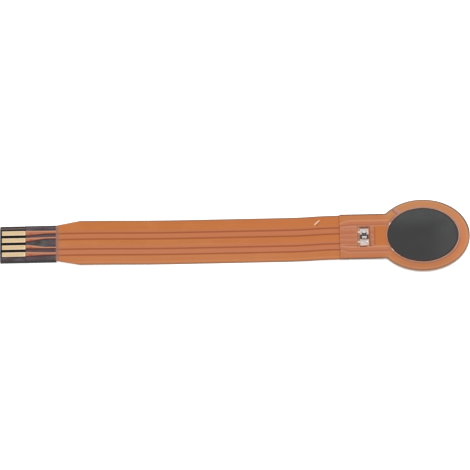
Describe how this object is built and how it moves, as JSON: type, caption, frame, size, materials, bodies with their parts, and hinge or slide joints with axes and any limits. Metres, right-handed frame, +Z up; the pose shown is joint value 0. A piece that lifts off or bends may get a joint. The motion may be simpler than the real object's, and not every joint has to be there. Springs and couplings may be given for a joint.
{
  "type": "force sensing resistor",
  "caption": "Round force sensing head with a black disc on a thin orange film tail, with a chip resistor beside the head and a stiffened gold contact end for a flat-cable socket.",
  "frame": {"origin": "centre of the round head on its mounting face, the underside of the rear adhesive", "axes": "+X along the tail's line, away from the contact end; +Y across the tail; +Z up, out of the sensing disc"},
  "size_m": [0.05, 0.01, 0.0007],
  "materials": {
    "orange_film": "satin",
    "copper": "satin",
    "gold_plating": "polished",
    "stiffener_laminate": "matte",
    "adhesive": "satin",
    "force_polymer": "matte",
    "seal_resin": "gloss",
    "chip_ceramic": "matte",
    "chip_coat": "satin",
    "tin": "satin"
  },
  "bodies": {
    "root": {"rear_adhesive": "adhesive", "stiffener": "stiffener_laminate", "stiffener_glue": "adhesive", "base_film": "orange_film", "conductor_1": "copper", "conductor_2": "copper", "conductor_3": "copper", "conductor_4": "copper", "contact_plating_1": "gold_plating", "contact_plating_2": "gold_plating", "contact_plating_3": "gold_plating", "contact_plating_4": "gold_plating", "cover_film": "orange_film", "spacer": "adhesive", "head_film": "orange_film", "force_disc": "force_polymer", "disc_seal": "seal_resin", "chip_body": "chip_ceramic", "chip_resistive_film": "chip_coat", "chip_coat": "chip_coat", "chip_cap_1": "tin", "chip_cap_2": "tin", "solder_joint_1": "tin", "solder_joint_2": "tin"}
  },
  "joints": []
}
